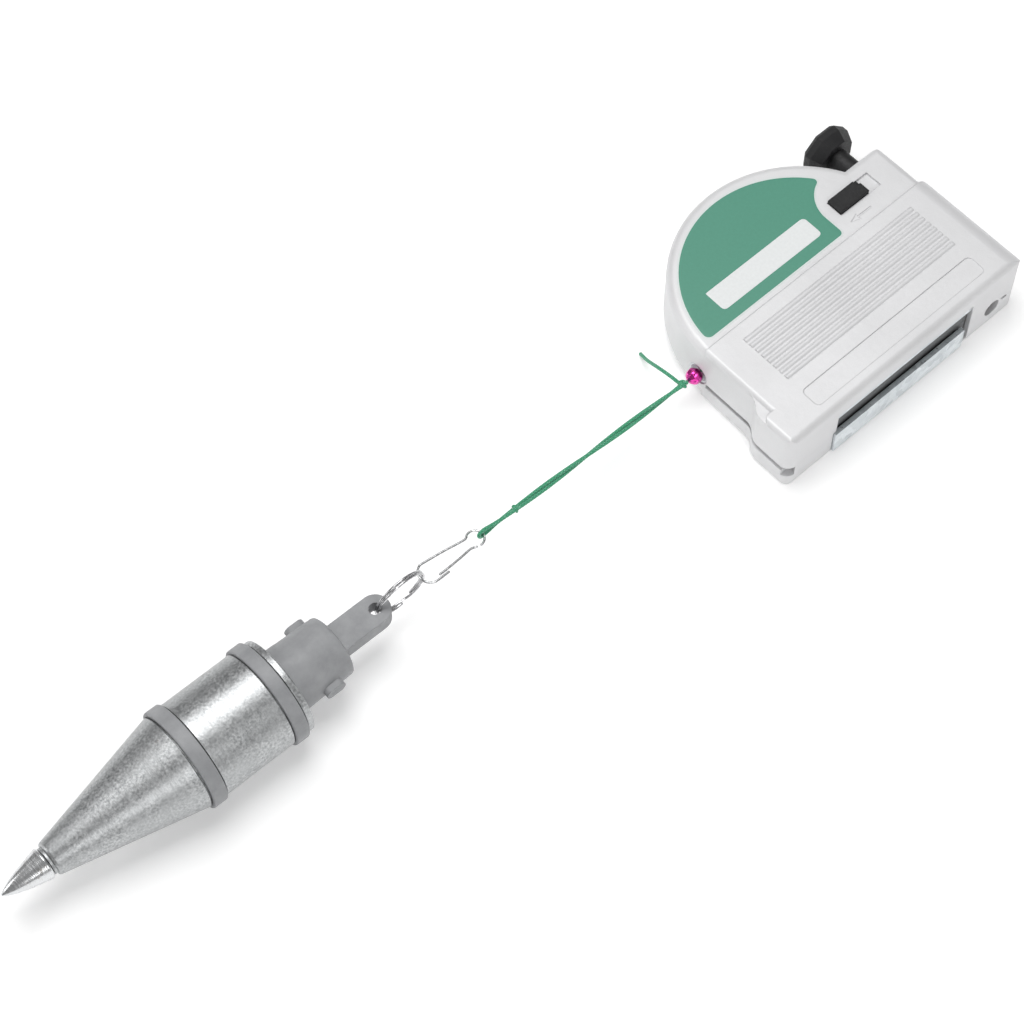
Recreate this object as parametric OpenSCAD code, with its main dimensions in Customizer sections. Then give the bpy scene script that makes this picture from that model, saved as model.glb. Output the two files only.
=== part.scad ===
// Magnetic plumb line reel with its plumb bob, laid on a table with the line drawn straight.
// X runs from the bob to the reel, Y from the magnet side to the round top, Z up. Millimetres.
// Case dimensions are written from the front left wall of the base (x), the magnet side (y)
// and the rear face (z); org() then moves everything to the centre of the footprint.

/* [Reel case] */
// Length of the case from its front left wall to its right wall
case_len = 110.8; // [108:0.1:114]
// Thickness of the case at its base
case_th = 28.5; // [27.5:0.1:30]
// How much thinner the round drum section is
drum_step = 1.0; // [0.6:0.1:1.5]
// Height of the seam between the two shells
seam_z = 10.5; // [10:0.1:11]
// Wall thickness of the shells
wall = 2.0; // [1.8:0.1:2.2]
// Where the base ends and the drum section starts
base_top = 46.8; // [46:0.1:48]
// Radius of the round drum section
disc_r = 48.5; // [47.5:0.1:49]
// How far the foot of the base stands out past the left wall
foot_out = 4.2; // [3:0.1:5]
// Height of the foot along the magnet side
foot_top = 14.5; // [13:0.1:15]
// Number of grip ridges on the front
ridge_n = 8; // [6:1:9]
// Radius of one grip ridge
ridge_r = 1.2; // [1:0.05:1.3]

/* [Magnet and poles] */
// Length of the magnet block
magnet_len = 65.0; // [60:0.5:65.5]
// Length of the rear pole plate
pole_len = 64.0; // [60:0.5:64]
// Thickness of the pole plates
pole_t = 1.8; // [1.4:0.1:2]
// How far the rear pole plate stands out of the case
pole_proud = 1.0; // [0.5:0.1:1.5]

/* [Drum and line] */
// Radius of the drum flanges
drum_r = 32.0; // [30:0.5:32]
// Radius at which the last turn of line lies
wind_r = 22.0; // [20:0.5:24]
// Diameter of the drum axle
axle_d = 6.0; // [5:0.5:6]
// Diameter of the thin line that runs onto the drum
line_d = 1.0; // [0.6:0.1:1.2]
// Diameter of the braided leader cord
cord_d = 1.3; // [1.2:0.1:1.5]
// Diameter of the stop bead
bead_d = 6.0; // [5.5:0.1:6.4]

/* [Lock and plunger] */
// Length of the lock button
lock_len = 13.9; // [13:0.1:14]
// Travel of the lock button
lock_travel = 5.5; // [5:0.1:5.5]
// Diameter of the plunger shaft
shaft_d = 8.6; // [8:0.1:9.2]
// Width over the corners of the plunger knob
knob_d = 20.8; // [20:0.1:21.4]
// Travel of the plunger
press = 10.0; // [8:0.5:10]
// Diameter of the steel pin
pin_d = 5.0; // [4:0.1:5]

/* [Clip and ring] */
// Wire diameter of the snap clip
clip_wire_d = 0.9; // [0.8:0.05:0.95]
// Wire diameter of the split ring
ring_wire_d = 1.0; // [0.9:0.05:1]
// Diameter of the split ring to the middle of its wire
ring_d = 19.8; // [19.6:0.1:20]

/* [Plumb bob] */
// Radius of the two plastic bands the bob lies on
band_r = 18.7; // [18.5:0.05:19]
// Radius of the steel barrel
barrel_r = 17.65; // [17.4:0.05:17.8]
// Length from the point to the groove behind the hard tip
tip_len = 16.6; // [15:0.1:17.5]
// Where the cone ends and the barrel starts
cone_len = 68.6; // [66:0.1:69]
// Length of the steel body
steel_len = 109.7; // [109:0.1:110.2]
// Width of the hanging lug
lug_w = 10.9; // [10:0.1:11.5]
// Thickness of the hanging lug
lug_t = 5.6; // [5:0.1:5.8]
// Diameter of the hole in the lug
lug_hole_d = 4.4; // [4.3:0.1:4.8]

/* [Hidden] */
$fn = 72;
e = 0.01;
tip_x = -293.7;
tip_y = 53.25;
bob_turn = -1.24;
org_x = -(tip_x + case_len) / 2;
disc_x = disc_r;
disc_y = 45.2;
org_y = -(disc_y + disc_r - pole_proud) / 2;
disc_th = case_th - drum_step;
col_x0 = 84;
col_x1 = 107.3;
col_top = 68.5;
drum_x = 48.5;
drum_y = 47.0;
exit_y = 48.3;
exit_z = 12.5;
shaft_x = 100.0;
shaft_z = 14.2;
pin_x = 97.3;
pin_z = 8.6;
screws = [[8, 22], [88, 19], [84, 69], [22, 78]];
ridge_box = [13.3, 18.9, 95.3, 41.5];
panel_box = [13.2, 4.9, 95.3, 13.1];
open_x0 = 19.1;
open_x1 = 85.6;
open_top = 21.5;
lock_x = 75.8;
lock_y0 = 55.5;
lock_y1 = 62.1;
eye_x = -101.6;
eye_y = 49.4;
clip_z = 17.2;
clip_rise = 0.08;
eye_r = 3.1;
end_x = -121.5;
end_r = 4.1;
hole_s = 149.2;
lug_s = 149.0;
band1 = [68.6, 74.0];
band2 = [101.8, 107.0];

module org() {
    translate([org_x, org_y, 0]) children();
}

// A rectangle whose four corners have the radius r.
module rounded(x0, y0, x1, y1, r) {
    translate([x0 + r, y0]) square([x1 - x0 - 2 * r, y1 - y0]);
    translate([x0, y0 + r]) square([x1 - x0, y1 - y0 - 2 * r]);
    for (x = [x0 + r, x1 - r], y = [y0 + r, y1 - r])
        translate([x, y]) circle(r = r);
}

// A rectangle with its own radius at each corner: rear left, rear right, front left, front right.
module rounded4(x0, y0, x1, y1, ra, rb, rc, rd) {
    difference() {
        translate([x0, y0]) square([x1 - x0, y1 - y0]);
        translate([x0 - 1, y0 - 1]) square([ra + 1, ra + 1]);
        translate([x1 - rb, y0 - 1]) square([rb + 1, rb + 1]);
        translate([x0 - 1, y1 - rc]) square([rc + 1, rc + 1]);
        translate([x1 - rd, y1 - rd]) square([rd + 1, rd + 1]);
    }
    translate([x0 + ra, y0 + ra]) circle(r = ra);
    translate([x1 - rb, y0 + rb]) circle(r = rb);
    translate([x0 + rc, y1 - rc]) circle(r = rc);
    translate([x1 - rd, y1 - rd]) circle(r = rd);
}

// A block cut from three extruded outlines, so its long edges are truly round.
module edge_block(x0, y0, x1, y1, z0, z1, plan_r, xz, yz) {
    intersection() {
        translate([0, 0, z0]) linear_extrude(z1 - z0) rounded(x0, y0, x1, y1, plan_r);
        translate([0, y1 + 5, 0]) rotate([90, 0, 0]) linear_extrude(y1 - y0 + 10)
            rounded4(x0, z0, x1, z1, xz[0], xz[1], xz[2], xz[3]);
        translate([x0 - 5, 0, 0]) rotate([90, 0, 90]) linear_extrude(x1 - x0 + 10)
            rounded4(y0, z0, y1, z1, yz[0], yz[1], yz[2], yz[3]);
    }
}

// The outer form of the closed case.
module case_form() {
    intersection() {
        edge_block(0, 0, case_len, base_top, 0, case_th, 2, [2.5, 3, 2, 8], [1, 0.5, 2.5, 0.7]);
        translate([0, 0, -1]) linear_extrude(case_th + 2) rounded(-60, 0, case_len, base_top, 4.5);
    }
    edge_block(-foot_out, 0, 30, foot_top, 0, case_th, 4, [1.5, 1, 2, 1], [1, 0.5, 2.5, 0.7]);
    translate([0, 0, 1.2]) linear_extrude(case_th - 2.4) shoulder();
    intersection() {
        translate([disc_x, disc_y, 0]) rotate_extrude()
            intersection() {
                rounded4(-disc_r, 0, disc_r, disc_th, 6, 6, 3, 3);
                square([disc_r + 1, disc_th]);
            }
        translate([-10, 40, -1]) cube([130, 70, case_th + 2]);
    }
    intersection() {
        edge_block(col_x0, 30, col_x1, col_top, 0, disc_th, 5, [3, 4, 3, 3], [3, 4, 3, 3]);
        translate([0, 0, -1]) linear_extrude(disc_th + 2) rounded(col_x0, 10, 160, col_top, 9);
    }
}

// The S-shaped shoulder, seen from the front, where the foot runs into the left side.
module shoulder() {
    difference() {
        union() {
            translate([-foot_out + 0.02, foot_top - 6]) square([foot_out + 4, 6]);
            intersection() {
                translate([-foot_out + 7.74, foot_top - 0.3]) circle(r = 7.72);
                translate([-foot_out, foot_top - 1]) square([foot_out + 4, 6.3]);
            }
            translate([-2.1, foot_top + 5]) square([6.1, 5.3]);
        }
        translate([-7.59, foot_top + 10.3]) circle(r = 7.74);
    }
}

// The hollow inside the case.
module case_hollow() {
    translate([wall, wall, wall]) cube([case_len - 2 * wall, base_top - 2 * wall, 22 - wall]);
    translate([wall, wall, wall]) cube([106 - wall, base_top - 2 * wall, case_th - 2 * wall]);
    intersection() {
        translate([disc_x, disc_y, 0]) rotate_extrude()
            intersection() {
                rounded4(-disc_r + wall, wall, disc_r - wall, disc_th - wall, 4.5, 4.5, 1.5, 1.5);
                square([disc_r + 1, disc_th]);
            }
        translate([-10, 40, 0]) cube([130, 70, case_th]);
    }
    translate([col_x0 - 4, 40, wall])
        cube([col_x1 - wall - col_x0 + 4, col_top - wall - 40, disc_th - 2 * wall]);
}

// Everything that passes through the walls of either shell.
module wall_cuts() {
    translate([open_x0, -3, wall]) cube([open_x1 - open_x0, 3 + wall + e, open_top - wall]);
    translate([17.8, -3, 0.8]) cube([pole_len + 0.4, 3 + wall + e, 10.9]);
    translate([-1, exit_y, exit_z]) rotate([0, 90, 0]) cylinder(r = 4.5, h = 6);
    translate([shaft_x, 60.4, shaft_z]) rotate([-90, 0, 0]) cylinder(r = 6.5, h = 10);
    translate([pin_x, -1, pin_z]) rotate([-90, 0, 0]) cylinder(r = 3.5, h = wall + 2);
    translate([102, -1, 8.9]) cube([2.8, wall + 2, 1.2]);
}

module front_shell() {
    color([0.83, 0.84, 0.85]) org() difference() {
        union() {
            difference() {
                intersection() {
                    case_form();
                    translate([-20, -20, seam_z]) cube([160, 160, 60]);
                }
                case_hollow();
            }
            for (p = screws)
                translate([p[0], p[1], seam_z]) cylinder(r = 3.4, h = case_th - wall - seam_z - 1 + e);
            for (p = [screws[0], screws[1]])
                translate([p[0], p[1], 24]) cylinder(r = 3.4, h = case_th - wall - 24 + e);
            grip_ridges();
        }
        wall_cuts();
        for (p = screws)
            translate([p[0], p[1], seam_z - 1]) cylinder(r = 1.3, h = 12);
        translate([0, 0, case_th - 0.3]) linear_extrude(2)
            rounded(panel_box[0], panel_box[1], panel_box[2], panel_box[3], 2);
        translate([75.6, 55.3, disc_th - 1]) cube([20, 7, 3]);
        translate([81.2, 57.2, 20]) cube([8.6, 3.2, 10]);
        lock_arrow();
    }
}

// The grip field is a row of low rounded bars.
module grip_ridges() {
    n = ridge_n;
    pitch = (ridge_box[3] - ridge_box[1]) / n;
    for (i = [0:n - 1])
        translate([ridge_box[0], ridge_box[1] + (i + 0.5) * pitch, case_th - ridge_r + 0.5])
            rotate([0, 90, 0]) cylinder(r = ridge_r, h = ridge_box[2] - ridge_box[0]);
}

// A plain arrow pressed into the front beside the lock.
module lock_arrow() {
    translate([79, 50.6, disc_th - 0.2]) cube([7, 0.6, 1]);
    translate([0, 0, disc_th - 0.2]) linear_extrude(1)
        polygon([[76, 50.9], [80, 52.3], [79.4, 50.9], [80, 49.5]]);
}

module rear_shell() {
    color([0.80, 0.81, 0.82]) org() difference() {
        union() {
            difference() {
                intersection() {
                    case_form();
                    translate([-20, -20, -1]) cube([160, 160, seam_z + 1]);
                }
                case_hollow();
            }
            for (p = screws)
                translate([p[0], p[1], wall - e]) cylinder(r = 3.9, h = seam_z - wall + e);
            translate([16, 13.8, wall - e]) cube([72, 0.8, 7]);
        }
        wall_cuts();
        for (p = screws) {
            translate([p[0], p[1], -1]) cylinder(r = 1.6, h = 14);
            translate([p[0], p[1], -1]) cylinder(r = 2.9, h = 3.4);
        }
        translate([-8, 3, seam_z - 2.2]) cube([8 + wall, 41, 5]);
        translate([0, 0, seam_z - 5]) linear_extrude(8)
            polygon([[-8, -3], [-3, -3], [1.9, 3], [1.9, 3.1], [-8, 3.1]]);
    }
}

// The arc field of the decal, clear of the lock, with its pale border of the width g.
module decal_plan(g) {
    difference() {
        intersection() {
            translate([46.7, 46.7]) circle(r = 42 + g);
            translate([0, 49.3 - g]) square([84, 50]);
        }
        translate([84.4, 58]) circle(r = 13.7 - g);
        translate([70.7 + g, 40]) square([20, 18]);
    }
}

module decal() {
    color([0.10, 0.50, 0.38]) org()
        translate([0, 0, disc_th]) linear_extrude(0.2) decal_plan(0.6);
}

module label_plate() {
    color([0.92, 0.93, 0.93]) org()
        translate([0, 0, disc_th + 0.2]) linear_extrude(0.15) rounded(17.3, 54, 65, 63.4, 1.6);
}

module front_pole_plate() {
    color([0.75, 0.77, 0.78]) org()
        translate([open_x0 + 0.2, 0.6, 18.5]) cube([open_x1 - open_x0 - 0.4, 13, pole_t + 0.9]);
}

module magnet() {
    color([0.16, 0.17, 0.18]) org()
        translate([open_x0 + 0.6, 1.6, 2.2 + pole_t])
            cube([magnet_len, 12, 18.5 - 2.2 - pole_t]);
}

module rear_pole_plate() {
    color([0.66, 0.70, 0.72]) org() {
        translate([18, -pole_proud, 1]) cube([pole_len, pole_t, 10.4]);
        translate([18 + 1.4, -pole_proud + pole_t - e, 2.2]) cube([pole_len - 1.6, 12.6, pole_t]);
    }
}

module exit_eyelet() {
    color([0.70, 0.72, 0.74]) org()
        translate([0.4, exit_y, exit_z]) rotate([0, 90, 0]) difference() {
            cylinder(r = 4.5, h = 4.6);
            translate([0, 0, -1]) cylinder(r = 1.1, h = 8);
            translate([0, 0, -e]) cylinder(r1 = 3.6, r2 = 2.0, h = 2.4);
        }
}

module case_screws() {
    color([0.62, 0.63, 0.65]) org() for (p = screws)
        translate([p[0], p[1], 0]) difference() {
            union() {
                cylinder(r = 2.7, h = 2.4);
                cylinder(r = 1.3, h = 20.6);
            }
            translate([-1.9, -0.35, -1]) cube([3.8, 0.7, 1.9]);
            translate([-0.35, -1.9, -1]) cube([0.7, 3.8, 1.9]);
        }
}

module drum_axle() {
    color([0.65, 0.66, 0.68]) org()
        translate([drum_x, drum_y, wall]) cylinder(d = axle_d, h = disc_th - 2 * wall);
}

module axle_clip() {
    color([0.45, 0.46, 0.48]) org()
        translate([drum_x, drum_y, 23.6]) difference() {
            cylinder(r = 5.2, h = 0.8);
            translate([0, 0, -1]) cylinder(d = axle_d, h = 3);
            translate([-1.5, 0, -1]) cube([3, 8, 3]);
        }
}

module pin_bush() {
    color([0.72, 0.62, 0.36]) org()
        translate([pin_x, wall, pin_z]) rotate([-90, 0, 0]) difference() {
            cylinder(r = 4.5, h = 6.5);
            translate([0, 0, -1]) cylinder(d = pin_d + 0.16, h = 10);
        }
}

module plunger_sleeve() {
    color([0.10, 0.10, 0.11]) org()
        translate([shaft_x, 60.5, shaft_z]) rotate([-90, 0, 0]) difference() {
            cylinder(r = 6.5, h = col_top - 60.5);
            translate([0, 0, -1]) cylinder(d = shaft_d + 0.2, h = 12);
        }
}

// Functions that sweep a round tube along a list of points.
function unit(v) = v / norm(v);
function ease(a, b, t) = a + (b - a) * t;
function split(a, b, step) =
    let (n = max(1, ceil(norm(b - a) / step))) [for (i = [0:n - 1]) ease(a, b, i / n)];
function route(p, step) = concat(
    [for (k = [0:len(p) - 2]) each split(p[k], p[k + 1], step)], [p[len(p) - 1]]);
function heading(p, i) = unit(p[min(i + 1, len(p) - 1)] - p[max(i - 1, 0)]);
function tube_ring(p, i, r, side, n) =
    let (t = heading(p, i), a = unit(cross(t, side)), b = cross(t, a))
    [for (k = [0:n - 1]) p[i] + r * (a * cos(360 * k / n) + b * sin(360 * k / n))];

// side is a direction that the whole route stays well away from.
module tube(p, r, side, n = 8) {
    m = len(p);
    polyhedron(
        points = [for (i = [0:m - 1]) each tube_ring(p, i, r, side, n)],
        faces = concat(
            [[for (k = [0:n - 1]) k]],
            [for (i = [0:m - 2], k = [0:n - 1])
                each [[i * n + k, (i + 1) * n + k, i * n + (k + 1) % n],
                    [i * n + (k + 1) % n, (i + 1) * n + k, (i + 1) * n + (k + 1) % n]]],
            [[for (k = [n - 1:-1:0]) (m - 1) * n + k]]),
        convexity = 4);
}

// The run of line from the winding to the bead.
reach = drum_x - 2;
run_mid = [5.4, exit_y, exit_z];
run_aim = 28.95;
run_back = [drum_x - wind_r * sin(run_aim), drum_y + wind_r * cos(run_aim), exit_z];
run_route = [[1.6, exit_y, exit_z], run_mid, run_back];

module line_run() {
    color([0.13, 0.48, 0.25]) org() tube(route(run_route, 2.6), line_d / 2, [0, 0, 1]);
}

module line_drum() {
    color([0.85, 0.85, 0.82]) org() translate([drum_x, drum_y, 0]) difference() {
        union() {
            translate([0, 0, 3.3]) cylinder(r = drum_r, h = 6.5);
            translate([0, 0, 9.8]) cylinder(r = 14, h = 5.4 + e);
            translate([0, 0, 15.2]) cylinder(r = drum_r, h = 4.8);
            translate([0, 0, 19]) cylinder(r = 7, h = 4.5);
        }
        translate([0, 0, 3]) cylinder(r = 28, h = 5.4);
        difference() {
            translate([0, 0, 16.6]) cylinder(r = 28.5, h = 5);
            translate([0, 0, 16]) cylinder(r = 7, h = 6);
        }
        translate([0, 0, 0]) cylinder(d = axle_d + 0.16, h = 30);
    }
}

module spring_cover() {
    color([0.60, 0.61, 0.63]) org() translate([drum_x, drum_y, 2.6]) difference() {
        cylinder(r = 30, h = 0.7);
        translate([0, 0, -1]) cylinder(r = 8, h = 3);
    }
}

// One closed solid of the outer shape of the turns of line.
module wound_line() {
    color([0.13, 0.48, 0.25]) org() translate([drum_x, drum_y, 10]) difference() {
        cylinder(r = wind_r - line_d / 2, h = 5);
        translate([0, 0, -1]) cylinder(r = 14, h = 8);
    }
}

module power_spring() {
    color([0.35, 0.37, 0.42]) org() translate([drum_x, drum_y, 3.5]) difference() {
        cylinder(r = 27.8, h = 4.6);
        translate([0, 0, -1]) cylinder(r = 19, h = 8);
    }
}

module lock_slider() {
    color([0.07, 0.07, 0.08]) org() difference() {
        union() {
            translate([lock_x, lock_y0, disc_th - 0.7]) cube([lock_len, lock_y1 - lock_y0, 2.2]);
            translate([81.5, 57.5, 25.2 - e]) cube([2.5, 2.6, 3]);
        }
        translate([lock_x + lock_len - 1.6, lock_y1 - 2.2, disc_th + 0.4]) cube([3, 3, 2]);
    }
}

module brake_shoe() {
    color([0.20, 0.20, 0.21]) org() difference() {
        translate([76, lock_y0, 15.6]) cube([11, 6.2, 25.2 - 15.6]);
        translate([drum_x, drum_y, 10]) cylinder(r = drum_r + 0.35, h = 10.4);
        translate([75, lock_y0 - 1, 15]) cube([5.2, 9, 7.4]);
    }
}

module plunger_knob() {
    color([0.06, 0.06, 0.07]) org()
        translate([shaft_x, 79.6, shaft_z]) rotate([-90, 22.5, 0]) {
            cylinder(r1 = 8.2, r2 = knob_d / 2, h = 4.4, $fn = 8);
            translate([0, 0, 4.4 - e]) cylinder(r = knob_d / 2, h = 2.4, $fn = 8);
            translate([0, 0, 6.8 - 2 * e]) cylinder(r1 = knob_d / 2, r2 = 9, h = 1.4, $fn = 8);
        }
}

module plunger_shaft() {
    color([0.07, 0.07, 0.08]) org()
        translate([shaft_x, 46, shaft_z]) rotate([-90, 0, 0]) cylinder(d = shaft_d, h = 33.6);
}

module pin_carrier() {
    color([0.25, 0.25, 0.26]) org() difference() {
        translate([93, 36, 5]) cube([11.6, 10, 14]);
        translate([pin_x, 35, pin_z]) rotate([-90, 0, 0]) cylinder(d = pin_d, h = 7);
    }
}

module steel_pin() {
    color([0.72, 0.73, 0.75]) org() translate([pin_x, 1, pin_z]) rotate([-90, 0, 0]) {
        cylinder(r1 = 0.4, r2 = pin_d / 2, h = 5);
        translate([0, 0, 5 - e]) cylinder(d = pin_d, h = 36 + e);
    }
}

// The outer form of the coil spring around the pin.
module return_spring() {
    color([0.68, 0.69, 0.71]) org()
        translate([pin_x, wall + 6.6, pin_z]) rotate([-90, 0, 0]) difference() {
            cylinder(r = 3.9, h = 36 - wall - 6.7);
            translate([0, 0, -1]) cylinder(r = 2.9, h = 40);
        }
}

module stop_bead() {
    color([0.78, 0.10, 0.50]) org() translate([-1.6, exit_y, exit_z]) rotate([0, 90, 0])
        rotate_extrude() difference() {
            circle(d = bead_d);
            translate([-9.15, -5]) square([10, 10]);
        }
}

module end_knot() {
    color([0.12, 0.47, 0.25]) org() translate([-6.7, exit_y + 0.1, exit_z]) sphere(r = 1.9);
}

module mid_knot() {
    color([0.12, 0.47, 0.25]) org() translate([-83.9, 49.2, 16.0]) sphere(r = 1.75);
}

// The leader leaves the knot, rounds the eye of the clip and comes back beside itself.
leader_route = [[-7, 48.4, 13.3], [-20, 48.5, 13.8], [-83.9, 49.1, 16.75], [-95, 49.3, 17.9],
    [-97.2, eye_y, 18.5], [-98.5, eye_y, 18.6], [-99.5, eye_y, 18.15], [-100.05, eye_y, 16.95],
    [-99.5, eye_y, 15.75], [-98.5, eye_y, 15.3], [-97.2, eye_y, 15.4], [-95, 49.3, 15.6],
    [-83.9, 49.1, 15.25], [-20, 48.5, 12.3], [-7, 48.4, 11.8]];

module leader_line() {
    color([0.13, 0.50, 0.27]) org() tube(route(leader_route, 4.4), cord_d / 2, [0, 1, 0]);
}

tail_route = [[-7.2, 49.5, 12.2], [-7.6, 53, 12.6], [-7.7, 57, 12], [-7.0, 62, 9.2], [-5.6, 67, 5.2],
    [-4.2, 70.8, 2.2], [-3.6, 72.6, 1.1]];

module line_tail() {
    color([0.13, 0.50, 0.27]) org() tube(route(tail_route, 3.4), cord_d / 2, [1, 0, 0]);
}

// Points along a flat arc of radius r about c, from angle a0 to angle a1.
function arc(c, r, a0, a1, n) = [for (i = [0:n])
    let (a = ease(a0, a1, i / n)) c + r * [cos(a), sin(a), 0]];

// The clip lies nearly level and rises a little toward the ring.
function lift(p) = [for (q = p) [q[0], q[1], clip_z + clip_rise * (eye_x - q[0])]];
eye_c = [eye_x, eye_y, 0];
end_c = [end_x, eye_y, 0];
clip_path = lift(concat(
    arc(eye_c, eye_r, -100, 138, 16),
    [[eye_x - 4.2, eye_y + 2.0, 0]],
    arc(end_c, end_r, 97, 263, 14),
    [[end_x + 2.6, eye_y - end_r + 0.03, 0], [end_x + 5.2, eye_y - end_r + 0.05, 0]]));

// One bent wire: round the small eye, along one side, round the end and a short hook.
module clip_wire() {
    color([0.86, 0.87, 0.88]) org() tube(route(clip_path, 3), clip_wire_d / 2, [0, 0, 1]);
}

// The sprung side of the clip, which bends in to let the ring pass.
gate_path = lift([[eye_x - 1.3, eye_y - 2.95, 0], [eye_x - 3.8, eye_y - 2.1, 0], [eye_x - 8.4, eye_y - 2.45, 0],
    [end_x + 5.4, eye_y - 2.78, 0], [end_x + 1.4, eye_y - 2.78, 0]]);

module clip_gate() {
    color([0.86, 0.87, 0.88]) org() tube(route(gate_path, 3), clip_wire_d / 2, [0, 0, 1]);
}

ring_x = -134.23;
ring_y = 49.9;
ring_z = 18.9;

module split_ring() {
    w = ring_wire_d / 2;
    color([0.74, 0.75, 0.77]) org() translate([ring_x, ring_y, ring_z]) rotate([90 + 8, 0, 0])
        rotate_extrude() translate([ring_d / 2, 0]) {
            for (z = [-w, w])
                translate([0, z]) circle(r = w);
            translate([-w * 0.6, -w]) square([w * 1.2, 2 * w]);
        }
}

// Lays a shape that was turned about its own axis on its side, its point at the far left.
module laid() {
    org() translate([tip_x, tip_y, band_r]) rotate([0, 0, bob_turn]) rotate([0, 90, 0]) children();
}

module turned(p) {
    rotate_extrude() polygon(p);
}

cone_r0 = 6.0;

module bob_body() {
    color([0.72, 0.73, 0.73]) laid() difference() {
        turned([[0, tip_len + 0.3], [4.9, tip_len + 0.3], [4.9, tip_len + 1.3], [cone_r0 - 0.3, tip_len + 1.5],
            [cone_r0, tip_len + 1.9], [barrel_r - 0.25, cone_len - 0.5], [barrel_r - 1.2, cone_len - 0.5],
            [barrel_r - 1.2, band1[1]], [barrel_r, band1[1]], [barrel_r, band2[0]],
            [barrel_r - 1.2, band2[0]], [barrel_r - 1.2, band2[1]], [barrel_r, band2[1]],
            [barrel_r, steel_len - 0.8], [barrel_r - 0.8, steel_len], [0, steel_len]]);
        translate([0, 0, steel_len - 14]) cylinder(r = 3, h = 20);
        translate([0, 0, tip_len - 1]) cylinder(r = 2.5, h = 9.2);
    }
}

module bob_tip() {
    color([0.80, 0.81, 0.82]) laid() {
        turned([[0, 0], [0.35, 0.15], [1.5, 2.0], [2.5, 4.2], [3.45, 7.2], [4.25, 10.3], [5.6, tip_len - 0.2],
            [5.4, tip_len], [0, tip_len]]);
        translate([0, 0, tip_len - e]) cylinder(r = 2.5, h = 8.2 + e);
    }
}

module band(s0, s1) {
    r0 = barrel_r - 1.2;
    c = 0.8;
    translate([0, 0, s0]) rotate_extrude()
        difference() {
            translate([r0, 0]) square([band_r - r0, s1 - s0]);
            translate([band_r - c, -c]) square([2 * c, 2 * c]);
            translate([band_r - c, s1 - s0 - c]) square([2 * c, 2 * c]);
        }
    translate([0, 0, s0]) rotate_extrude() {
        for (z = [c, s1 - s0 - c])
            translate([band_r - c, z]) circle(r = c);
    }
}

module lower_band() {
    color([0.42, 0.43, 0.45]) laid() band(band1[0], band1[1]);
}

module upper_band() {
    color([0.42, 0.43, 0.45]) laid() band(band2[0], band2[1]);
}

module bob_cap() {
    z0 = steel_len;
    color([0.45, 0.46, 0.48]) laid() difference() {
        union() {
            turned([[0, z0], [11.8, z0], [11.15, z0 + 20.7], [10.9, z0 + 21.4], [10.2, z0 + 21.8], [0, z0 + 21.8]]);
            translate([0, 0, 125.7]) rotate([-90, 0, 0]) cap_peg();
            translate([0, 0, 121.9]) rotate([90, 0, 0]) cap_peg();
            lug();
        }
        translate([0, 0, z0 - 1]) cylinder(r = 3, h = 9);
        translate([-40, 0, hole_s]) rotate([0, 90, 0]) cylinder(d = lug_hole_d, h = 80);
        translate([-6.4, 9.9, 115.7]) cube([3.4, 6, 5.3]);
    }
}

// A stub with two round ends on the side of the cap.
module cap_peg() {
    linear_extrude(13.6) {
        translate([-2.1, -1.6]) square([4.2, 3.2]);
        for (y = [-1.6, 1.6])
            translate([0, y]) circle(r = 2.1);
    }
}

// A flat tab with a round end. Its faces look up and down when the bob lies down.
module lug() {
    translate([-lug_t / 2, 0, 0]) rotate([0, 90, 0]) linear_extrude(lug_t) {
        translate([-lug_s, 0]) circle(d = lug_w);
        translate([-lug_s, -lug_w / 2]) square([lug_s - 128, lug_w]);
    }
}

module cap_stud() {
    color([0.60, 0.61, 0.62]) laid()
        translate([0, 0, steel_len - 13.5]) cylinder(r = 3, h = 21);
}

front_shell();
rear_shell();
decal();
label_plate();
front_pole_plate();
rear_pole_plate();
magnet();
exit_eyelet();
case_screws();
drum_axle();
axle_clip();
pin_bush();
plunger_sleeve();
line_run();
line_drum();
spring_cover();
wound_line();
power_spring();
lock_slider();
brake_shoe();
plunger_knob();
plunger_shaft();
pin_carrier();
steel_pin();
return_spring();
stop_bead();
end_knot();
leader_line();
mid_knot();
line_tail();
clip_wire();
clip_gate();
split_ring();
bob_body();
bob_tip();
lower_band();
upper_band();
bob_cap();
cap_stud();
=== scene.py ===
# %% [markdown]
# # A magnetic plumb line reel and its steel bob
# The tool lies on a table with its line drawn straight. The case is a pair of painted shells
# with a drum of line inside; a green cord leads through a bead to a wire clip, a split ring and
# the bob. The measured frame is loaded first, and every piece below is placed from it.

# %% Load the frame
import math
import bpy
import numpy as np
from mathutils import Matrix, Vector


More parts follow.
